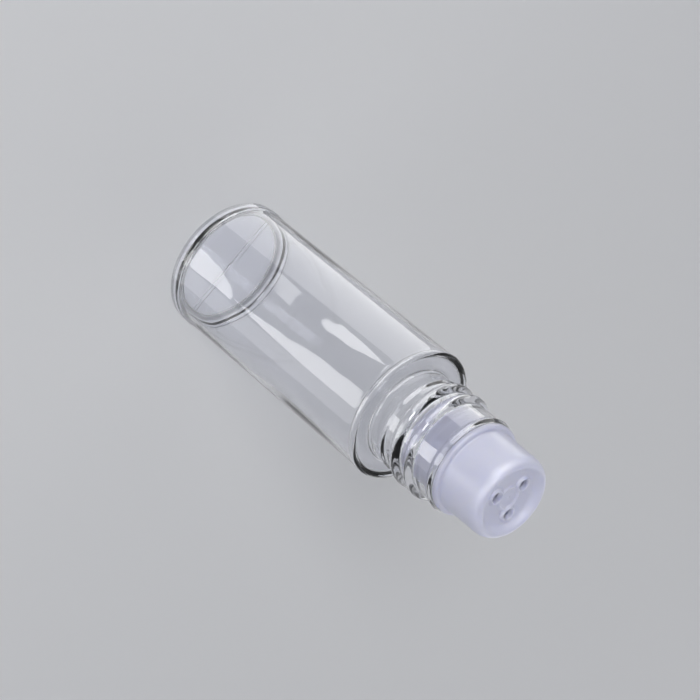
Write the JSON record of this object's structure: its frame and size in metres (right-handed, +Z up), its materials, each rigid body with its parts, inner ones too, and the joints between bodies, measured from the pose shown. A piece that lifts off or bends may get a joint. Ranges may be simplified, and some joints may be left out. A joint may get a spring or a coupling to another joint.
{
  "type": "sifter jar",
  "caption": "Small clear cylindrical powder bottle with a threaded neck and a translucent sifter insert pressed into its mouth.",
  "frame": {"origin": "middle of the base, on the plane that the bottle stands on", "axes": "+Z up along the jar's axis, out through the sifter; -Y is the front, and the mould seam runs across the base along X"},
  "size_m": [0.023, 0.023, 0.0726],
  "materials": {
    "clear_plastic": "clear, glossy",
    "sifter_plastic": "translucent, satin"
  },
  "bodies": {
    "jar": {"bottle": "clear_plastic"},
    "insert": {"sifter_insert": "sifter_plastic"}
  },
  "joints": [
    {"name": "insert_pull", "type": "slide", "parent": "jar", "child": "insert", "axis": [0, 0, 1], "range_m": [0, 0.0225]}
  ]
}
